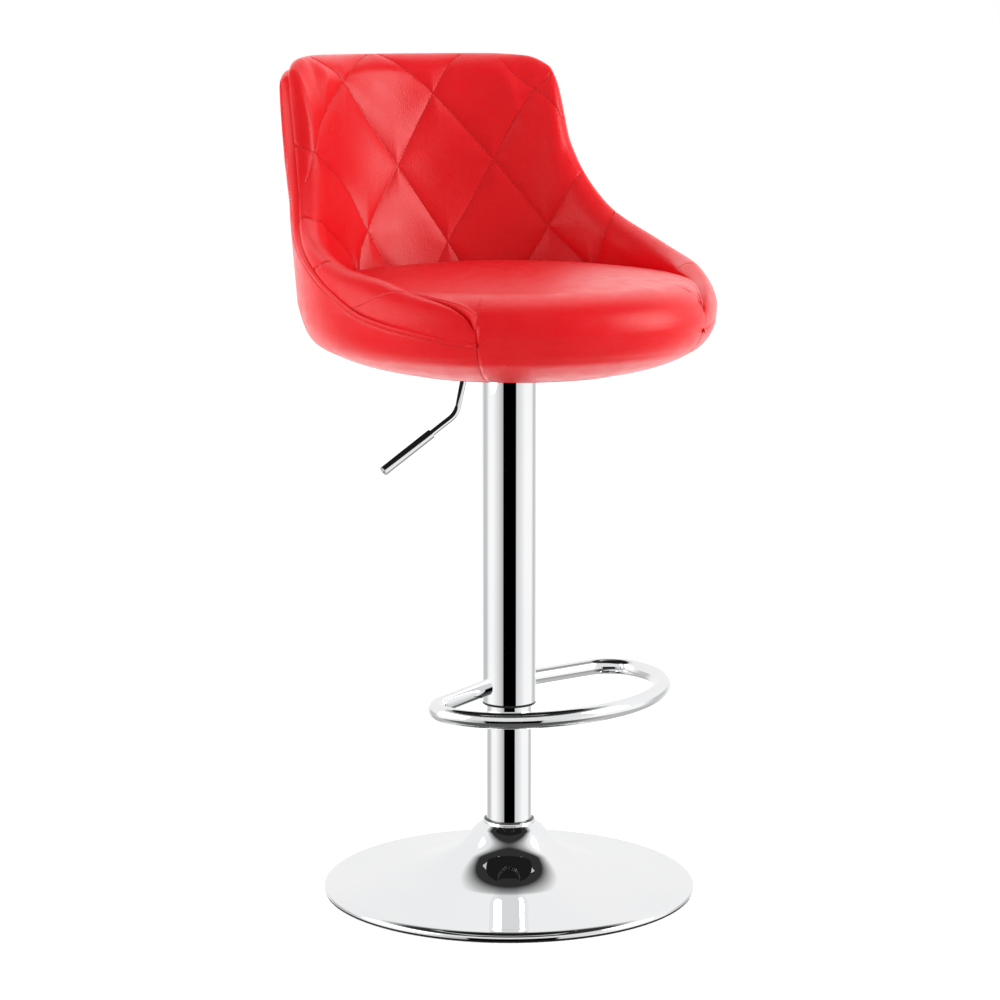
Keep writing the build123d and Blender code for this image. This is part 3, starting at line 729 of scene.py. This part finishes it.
def back_column(angle):
    """Over the rounded edge, down the inner face and back up behind the padding."""
    behind = cover_thickness + shell_depth
    foot = board_top + pad_lift
    column = []
    for row in range(roll_rows):
        row_at = slanted(angle, row / roll_rows)
        column.append((row_at, *roll_point(row_at, row / roll_rows), showing))
    inner_at = slanted(angle, 1.0)
    outer_at = slanted(angle, 0.0)
    inner_top = roll_point(inner_at, 1.0)
    inner_foot = (wall_radius(inner_at, foot) - edge_at(inner_at).inner_in, foot)
    outer_foot = (seat_radius - behind, foot)
    seam_r, seam_z = roll_point(outer_at, 0.0)
    outer_top = (seam_r - behind + edge_at(outer_at).seam_in, seam_z - seam_clearance)
    tuck = (seam_r - seam_tuck, seam_z - seam_clearance)
    column += turned_to(inner_at, straight_rows(inner_top, inner_foot, inner_face_rows, showing))
    column += crossing_rows(inner_at, outer_at, inner_foot, outer_foot, pad_foot_rows)
    column += turned_to(outer_at, straight_rows(outer_foot, outer_top, pad_back_rows, hidden))
    column += turned_to(outer_at, straight_rows(outer_top, tuck, seam_rows, hidden))
    column += [(outer_at, *tuck, hidden), column[0]]
    return column


def laid_on(bm, path):
    """Moves each point of a sewn line onto the surface."""
    tree = BVHTree.FromBMesh(bm)
    return [tree.find_nearest(point)[0] for point in path]


def puff_panels(bm, paths):
    """Draws the padding in towards the sewn lines, so that the panels between them stand out."""
    tree = tree_of(paths)
    shown = bm.verts.layers.float["shown"]
    for vert in bm.verts:
        if vert[shown] <= 0:
            continue
        away = tree.find(vert.co)[2]
        middle = Vector((0, seat_lean * max(vert.co.z - lean_start, 0)))
        inside = seat_radius - (vert.co.xy - middle).length
        fade = clamped((inside - crest_inset) / (wall_thickness - crest_inset))
        vert.co -= vert.normal * quilt_depth * exp(-away / quilt_reach) * fade
    bm.normal_update()


def quilted_back():
    """The padded back, with its quilting lines and arm lines as they lie on it."""
    angles = rim_angles(-arm_seam_angle + seam_split, arm_seam_angle - seam_split)
    bm = grid_over([back_column(angle) for angle in angles], True)
    groups = (quilt_lines, arm_lines, small_seams)
    quilt, arms, small = [[laid_on(bm, sewn_curve(line)) for line in lines] for lines in groups]
    for reach in refine_reaches:
        refine_along(bm, quilt + arms + small, reach)
    puff_panels(bm, quilt + arms)
    sink_along(bm, quilt + arms + small, groove_depth, groove_width)
    return bm, quilt, arms + small


def swell(angle, height):
    """How far the upper part of the cover stands out round the back."""
    side = clamped((swell_end_angle - abs(angle)) / swell_fade_angle)
    up = clamped((height - swell_start_height) / swell_fade_height)
    return swell_depth * eased(side) * eased(up)


def bowl_rows(angle, top, count):
    rows = []
    for n in range(count):
        z = top - (top - hem_height) * sin(pi / 2 * n / count)
        rows.append((rim_radius(angle, z), z, showing))
    return rows


def hem_rows(angle):
    """Round the hem and in under the seat board."""
    hem_r = rim_radius(angle, hem_height)
    turned = (hem_r - hem_width, hem_inner_height)
    bend = (turned[0] + hem_bend[0], hem_height + hem_bend[1])
    raised = (turned[0], board_under - hem_board_gap)
    rows = [(*point, showing) for point in arc((hem_r, hem_height), bend, turned, hem_part_rows)]
    rows += straight_rows(turned, raised, hem_part_rows, hidden)
    return rows + straight_rows(raised, (board_edge, board_under), hem_part_rows, hidden)


def cover_face_rows(angle, top, round_in, round_down):
    """The cover's rounded edge, its wall and its bowl."""
    rows = []
    for n in range(cover_edge_rows):
        turn = pi / 2 * n / cover_edge_rows
        z = top - round_down * (1 - cos(turn))
        r = rim_radius(angle, z) - round_in * (1 - sin(turn)) + swell(angle, z) * sin(turn)
        rows.append((r, z, showing))
    low = top - round_down
    wall_end = min(bowl_top, low - cover_wall_least)
    for n in range(cover_wall_rows):
        z = low + (wall_end - low) * n / cover_wall_rows
        rows.append((rim_radius(angle, z) + swell(angle, z), z, showing))
    return rows + bowl_rows(angle, wall_end, cover_bowl_rows)


def cover_column(angle):
    """Down the outside of the cover, round its hem and back up the inside."""
    edge = edge_at(angle)
    steep = seam_steepness(angle)
    top = edge.seam - cover_edge_drop * steep
    tip = clamped((station_angle(angle) - arm_seam_angle) / (front_station - arm_seam_angle))
    thick = cover_thickness * (1 - cover_tip_thinning * tip)
    round_in = max(edge.seam_in, cover_edge_in)
    round_down = max(cover_edge_fall * edge.seam_in, cover_edge_down) * steep
    edge_r = rim_radius(angle, top)
    inner_top = (edge_r - max(thick, round_in + cover_edge_flat), top - cover_edge_tilt)
    inner_low = (seat_radius - thick, lean_start)
    rows = straight_rows(inner_top, (edge_r - round_in, top), seam_rows, hidden)
    rows += cover_face_rows(angle, top, round_in, round_down)
    rows += hem_rows(angle)
    rows += straight_rows((board_edge + seam_clearance, board_under), inner_low, seam_rows, hidden)
    rows += straight_rows(inner_low, inner_top, cover_back_rows, hidden)
    rows.append(rows[0])
    return turned_to(angle, rows)


def outer_cover():
    angles = rim_angles(-front_seam_left + seam_split, front_seam_right - seam_split)
    return grid_over([cover_column(angle) for angle in angles], True)


def arm_tip(side):
    """The pad from an arm's cross seam to the front seam."""
    end = (front_seam_right if side > 0 else front_seam_left) - seam_split
    foot = board_top + tip_lift
    columns = []
    for n in range(tip_columns + 1):
        column = []
        for row in range(roll_rows + 1):
            begin = cross_seam(side, row / roll_rows) + seam_split
            angle = side * (begin + (end - begin) * n / tip_columns)
            column.append((angle, *roll_point(angle, row / roll_rows), showing))
        outer_at, *seam_point, _ = column[0]
        inner_at, *inner_top, _ = column[-1]
        low = (seat_radius - edge_at(inner_at).inner_in, foot)
        low_out = (low[0] + tip_foot_width, foot)
        column += turned_to(inner_at, straight_rows(inner_top, low, tip_side_rows, hidden)[1:])
        column.append((inner_at, *low, hidden))
        column += crossing_rows(inner_at, outer_at, low_out, seam_point, tip_back_rows)
        column.append((outer_at, *seam_point, hidden))
        columns.append(column)
    return grid_over(columns, True)


def cushion_reach(angle, height):
    """How far the cushion goes out before it meets the back or an arm."""
    edge = edge_at(angle)
    on_arm = abs(angle) > arm_seam_angle
    return wall_radius(angle, edge.shoulder if on_arm else height) - edge.inner_in - soft_gap


def dome_height(r):
    """Height of the cushion's domed top."""
    reach, height = cushion_shoulder
    rise = cushion_crown - height
    ball = (reach ** 2 + rise ** 2) / (2 * rise)
    return cushion_crown - ball + sqrt(ball ** 2 - min(r, reach) ** 2)


def smooth_through(points, steps):
    """A smooth curve through points in the section plane, with this many steps between two."""
    curve = []
    for index in range(len(points) - 1):
        before = Vector(points[max(index - 1, 0)])
        start, end = Vector(points[index]), Vector(points[index + 1])
        after = Vector(points[min(index + 2, len(points) - 1)])
        length = (end - start).length
        lead = start + (end - before).normalized() * length / 3
        trail = end - (after - start).normalized() * length / 3
        curve += [tuple(point) for point in interpolate_bezier(start, lead, trail, end, steps + 1)[:-1]]
    return curve + [tuple(points[-1])]


# Front edge of the cushion from its dome down to the bowl: distance from the axis, height
dome_end = 0.172
roll_steps = 24
cushion_roll = smooth_through(
    [(dome_end, dome_height(dome_end)), cushion_shoulder, (0.2068, 0.6708), (0.2168, 0.6615),
     (0.2224, 0.6500), (0.2234, 0.6400), (0.2222, cushion_side)], roll_steps)

# The part of it past the dome's shoulder, at every fourth step
front_roll = cushion_roll[2 * roll_steps:-1:4]


def cushion_height(r):
    """Height of the cushion's top, on past its shoulder."""
    if r <= dome_end:
        return dome_height(r)
    for (r0, z0), (r1, z1) in zip(cushion_roll, cushion_roll[1:]):
        if r <= r1:
            return z0 + (z1 - z0) * (r - r0) / (r1 - r0)
    return cushion_side


def dome_part(reach):
    """The cushion's top from its middle outwards."""
    steps = [reach * n / dome_rows for n in range(dome_rows)]
    return [(r, cushion_height(r), showing) for r in steps]


def front_rows(angle):
    """The cushion's open front: over its roll, down the bowl and in under the board."""
    board_low = (board_edge, board_under)
    board_high = (board_edge, board_top)
    rows = dome_part(front_roll[0][0])
    rows += [(*point, showing) for point in front_roll]
    rows += bowl_rows(angle, cushion_side, apron_rows)
    rows += hem_rows(angle)
    rows += straight_rows(board_low, board_high, board_edge_rows, hidden)
    return rows + straight_rows(board_high, (0, board_top), board_rows, hidden)


def side_rows(angle):
    """The cushion where it meets the back or an arm, with its lip turned down."""
    reach = cushion_reach(angle, cushion_shoulder[1])
    turn_in = lip_turn - lip_turn_loss * clamped((abs(angle) - lip_ease_start) / lip_ease_length)
    inner = reach - turn_in
    top = cushion_height(inner)
    bend = (inner + lip_bend[0] * turn_in, top - lip_bend[1] * turn_in)
    low = (reach, top - turn_in)
    foot = (cushion_reach(angle, board_top), board_top)
    rows = dome_part(inner)
    rows += [(*point, showing) for point in arc((inner, top), bend, low, lip_rows)]
    rows += straight_rows(low, foot, apron_rows, hidden)
    return rows + straight_rows(foot, (0, board_top), cushion_under_rows, hidden)


def cushion_column(angle):
    in_front = angle > front_seam_right or angle < -front_seam_left
    rows = front_rows(angle) if in_front else side_rows(angle)
    rows.append((0.0, board_top, hidden))
    return turned_to(angle, rows)


def seat_cushion():
    seams = (-front_seam_left, front_seam_right)
    angles = [360 * n / cushion_columns - 180 for n in range(cushion_columns + 1)]
    angles = [angle for angle in angles if min(abs(angle - seam) for seam in seams) > cushion_seam_clear]
    angles += [seam + split for seam in seams for split in (-seam_split, seam_split)]
    return grid_over([cushion_column(angle) for angle in sorted(angles)], False)


def rim_path():
    """The sewn line that runs along the rim, a little below its seam."""
    low = -front_seam_left + rim_row_end
    high = front_seam_right - rim_row_end
    path = []
    for n in range(rim_row_points + 1):
        angle = low + (high - low) * n / rim_row_points
        z = seam_height(angle) - rim_row_drop * seam_steepness(angle)
        path.append(place(angle, rim_radius(angle, z), z))
    return path


def upholstery():
    back, quilt, arms = quilted_back()
    cover = outer_cover()
    rim_row = laid_on(cover, rim_path())
    sink_along(cover, [rim_row], rim_groove_depth, groove_width)
    sewn = (
        stitches("quilt_stitches", quilt, back, quilt_stitch),
        stitches("arm_stitches", arms, back, seam_stitch),
        stitches("rim_stitches", [rim_row], cover, seam_stitch),
    )
    pads = (
        ("quilted_back", back, "back_pad", 0.7),
        ("outer_cover_leather", cover, "outer_cover", 0.5),
        ("arm_tip_right", arm_tip(1), "wing_pad_right", 0.7),
        ("arm_tip_left", arm_tip(-1), "wing_pad_left", 0.7),
        ("cushion_leather", seat_cushion(), "seat_cushion", 0.8),
    )
    for name, bm, node, fill in pads:
        finish_piece(piece(name, bm, leather), "seat", [node])
    for row in sewn:
        finish_piece(row, "seat")


# Base and frame

def base_dish():
    """The spun steel dish with a rolled lip at its neck and a rounded brim."""
    top = smooth_through(dish_flare, flare_steps)
    lip = arc(*dish_lip[:3], dish_lip_top_rows)
    lip += arc(*dish_lip[2:], dish_flare[0], dish_lip_side_rows)
    flare_r, flare_z = dish_flare[-1]
    brim = []
    for n in range(1, brim_rows + 1):
        turn = pi / 2 * n / brim_rows
        brim.append((flare_r + brim_width * sin(turn), flare_z - brim_drop * (1 - cos(turn))))
    under = [(r, z - dish_sheet) for r, z in reversed(top)]
    profile = [*lip, *top, *brim, *dish_foot, *under, dish_throat]
    profile.append(profile[0])
    columns = [[(360 * n / dish_columns, r, z, showing) for r, z in profile] for n in range(dish_columns + 1)]
    dish = piece("spun_base", grid_over(columns, False), finishes["chrome"])
    dish.data.set_sharp_from_angle(angle=radians(dish_crisp_angle))
    finish_piece(dish, "base", ["base_dish"])


def dress_frame():
    """Gives each piece of the frame its finish, with smooth faces and crisp edges."""
    slots = {part["node"]: part["material_slot"] for part in frame["record"]["subparts"]}
    for name, node in nodes.items():
        node.data.materials.clear()
        node.data.materials.append(finishes[slots[name]])
        weld = node.modifiers.new("joined", "WELD")
        weld.merge_threshold = weld_distance
        split = node.modifiers.new("crisp", "EDGE_SPLIT")
        split.split_angle = radians(crisp_angle)
        node.data.shade_smooth()
    for name in unmirrored:
        nodes[name].visible_glossy = False


# Studio

def stage_material(name):
    """A material with nothing on its surface yet: itself, its nodes and the surface to link to."""
    material = bpy.data.materials.new(name)
    material.use_nodes = True
    tree = material.node_tree
    tree.nodes.clear()
    output = tree.nodes.new("ShaderNodeOutputMaterial")
    return material, tree, output.inputs["Surface"]


def glow(tree, tone, strength):
    node = tree.nodes.new("ShaderNodeEmission")
    node.inputs["Color"].default_value = (*grey(tone), 1)
    node.inputs["Strength"].default_value = strength
    return node.outputs["Emission"]


def mixed_shaders(tree, share, first, second):
    node = tree.nodes.new("ShaderNodeMixShader")
    link(tree, share, node.inputs["Fac"])
    link(tree, first, node.inputs[1])
    link(tree, second, node.inputs[2])
    return node.outputs["Shader"]


def mixed_colours(tree, share, first, second):
    node = tree.nodes.new("ShaderNodeMix")
    node.data_type = "RGBA"
    link(tree, share, node.inputs["Factor"])
    link(tree, first, node.inputs[6])
    link(tree, second, node.inputs[7])
    return node.outputs[2]


def pale_floor():
    """A pale floor, lifted to white for the camera, that keeps the stool's shadow."""
    material, tree, surface = stage_material("pale_floor")
    diffuse = tree.nodes.new("ShaderNodeBsdfDiffuse")
    diffuse.inputs["Color"].default_value = (*grey(floor_tone), 1)
    both = tree.nodes.new("ShaderNodeAddShader")
    link(tree, diffuse.outputs["BSDF"], both.inputs[0])
    link(tree, glow(tree, 1.0, floor_lift), both.inputs[1])
    to_camera = tree.nodes.new("ShaderNodeLightPath").outputs["Is Camera Ray"]
    link(tree, mixed_shaders(tree, to_camera, diffuse.outputs["BSDF"], both.outputs["Shader"]), surface)
    bm = bmesh.new()
    level = Matrix.Translation((0, 0, floor_height))
    bmesh.ops.create_grid(bm, x_segments=1, y_segments=1, size=floor_half, matrix=level)
    floor = piece("floor", bm, material)
    floor.visible_glossy = False


def painted_shade_card():
    """A dark card below the seat that only the base mirrors, from below: painted shade standing in for the
    seat's shaded underside.
    """
    material, tree, surface = stage_material("dark_card")
    clear = tree.nodes.new("ShaderNodeBsdfTransparent")
    from_below = tree.nodes.new("ShaderNodeNewGeometry").outputs["Backfacing"]
    # Seen from below, the card glows a near-black tone: a painted dark reflection of the seat's shaded
    # underside
    link(tree, mixed_shaders(tree, from_below, clear.outputs["BSDF"], glow(tree, painted_shade_tone, 1.0)), surface)
    bm = bmesh.new()
    level = Matrix.Translation((0, 0, card_height))
    for radius in card_radii:
        bmesh.ops.create_circle(bm, cap_ends=False, segments=card_segments, radius=radius, matrix=level)
    bmesh.ops.bridge_loops(bm, edges=bm.edges)
    panel = piece("dark_card", bm, material)
    if panel.data.polygons[0].normal.z < 0:
        panel.data.flip_normals()
    panel.visible_camera = False
    panel.visible_diffuse = False
    panel.visible_shadow = False


def toward_camera(turn, distance, height):
    """A place this many degrees round the stool from the camera, to its right."""
    bearing = radians(camera_bearing + turn)
    return Vector((sin(bearing) * distance, -cos(bearing) * distance, height))


def soft_light(name, location, target, size, power):
    data = bpy.data.lights.new(name, "AREA")
    data.shape = "RECTANGLE"
    data.size, data.size_y = size
    data.energy = power
    lamp = bpy.data.objects.new(name, data)
    bpy.context.scene.collection.objects.link(lamp)
    lamp.location = location
    lamp.visible_camera = False
    lamp.rotation_mode = "QUATERNION"
    lamp.rotation_quaternion = (Vector(target) - Vector(location)).to_track_quat("-Z", "Y")


def room_reflection(tree):
    """Colours of the white room, dark behind the camera, and of the dim room."""
    coords = tree.nodes.new("ShaderNodeTexCoord").outputs["Generated"]
    facing = tree.nodes.new("ShaderNodeMapping")
    facing.inputs["Rotation"].default_value = (0, 0, radians(90 - camera_bearing))
    link(tree, coords, facing.inputs["Vector"])
    around = tree.nodes.new("ShaderNodeTexGradient")
    around.gradient_type = "RADIAL"
    link(tree, facing.outputs["Vector"], around.inputs["Vector"])
    zones = []
    for levels in (room_low, room_high, room_floor, room_dim):
        stops = [((turn + 180) / 360, grey(level)) for turn, level in levels]
        zones.append(ramp(tree, around.outputs["Fac"], stops))
    low, high, floor, dim = zones
    zenith = tree.nodes.new("ShaderNodeRGB").outputs["Color"]
    zenith.default_value = (*grey(room_zenith), 1)
    parts = tree.nodes.new("ShaderNodeSeparateXYZ")
    link(tree, coords, parts.inputs["Vector"])
    seen = low
    for (start, end), zone in ((high_blend, high), (zenith_blend, zenith), (floor_blend, floor)):
        rise = tree.nodes.new("ShaderNodeMapRange")
        rise.inputs["From Min"].default_value = start
        rise.inputs["From Max"].default_value = end
        link(tree, parts.outputs["Z"], rise.inputs["Value"])
        seen = mixed_colours(tree, rise.outputs["Result"], seen, zone)
    return seen, dim


def backdrop(node, strength):
    node.inputs["Color"].default_value = (*grey(1.0), 1)
    node.inputs["Strength"].default_value = strength
    return node.outputs["Background"]


def studio_world():
    """White to the camera, a room to what mirrors it and plain light to the rest."""
    world = bpy.data.worlds.new("studio")
    bpy.context.scene.world = world
    world.use_nodes = True
    tree = world.node_tree
    ambient = backdrop(tree.nodes["Background"], ambient_strength)
    white = backdrop(tree.nodes.new("ShaderNodeBackground"), white_strength)
    room_node = tree.nodes.new("ShaderNodeBackground")
    room = backdrop(room_node, room_strength)
    path = tree.nodes.new("ShaderNodeLightPath").outputs
    mirrored, dim = room_reflection(tree)
    link(tree, mixed_colours(tree, path["Is Singular Ray"], dim, mirrored), room_node.inputs["Color"])
    shiny = mixed_shaders(tree, path["Is Glossy Ray"], ambient, room)
    seen = mixed_shaders(tree, path["Is Camera Ray"], shiny, white)
    link(tree, seen, tree.nodes["World Output"].inputs["Surface"])


def photo_camera():
    data = bpy.data.cameras.new("camera")
    data.lens = camera_lens
    data.sensor_width = sensor_width
    camera = bpy.data.objects.new("camera", data)
    bpy.context.scene.collection.objects.link(camera)
    turn = radians(camera_bearing)
    ahead = Vector((-sin(turn), cos(turn), 0))
    right = Vector((cos(turn), sin(turn), 0))
    swing, tilt = radians(camera_swing), radians(camera_tilt)
    level_look = ahead * cos(swing) + right * sin(swing)
    look = level_look * cos(tilt) - Vector((0, 0, 1)) * sin(tilt)
    camera.location = camera_place
    camera.rotation_mode = "QUATERNION"
    camera.rotation_quaternion = look.to_track_quat("-Z", "Y")
    bpy.context.scene.camera = camera


def studio():
    bpy.context.scene.view_settings.view_transform = "Standard"
    studio_world()
    pale_floor()
    painted_shade_card()
    soft_light("key_light", toward_camera(turn=82, distance=2.4, height=1.25),
               target=(0, 0, 0.66), size=(1.2, 1.7), power=42)
    soft_light("fill_light", toward_camera(turn=-72, distance=2.4, height=1.1),
               target=(0, 0, 0.65), size=(2.4, 1.8), power=33)
    soft_light("top_light", (0.1, 0.2, 2.9), target=(0, 0, 0.6), size=(1.8, 1.8), power=6)
    photo_camera()


dress_frame()
base_dish()
upholstery()
studio()
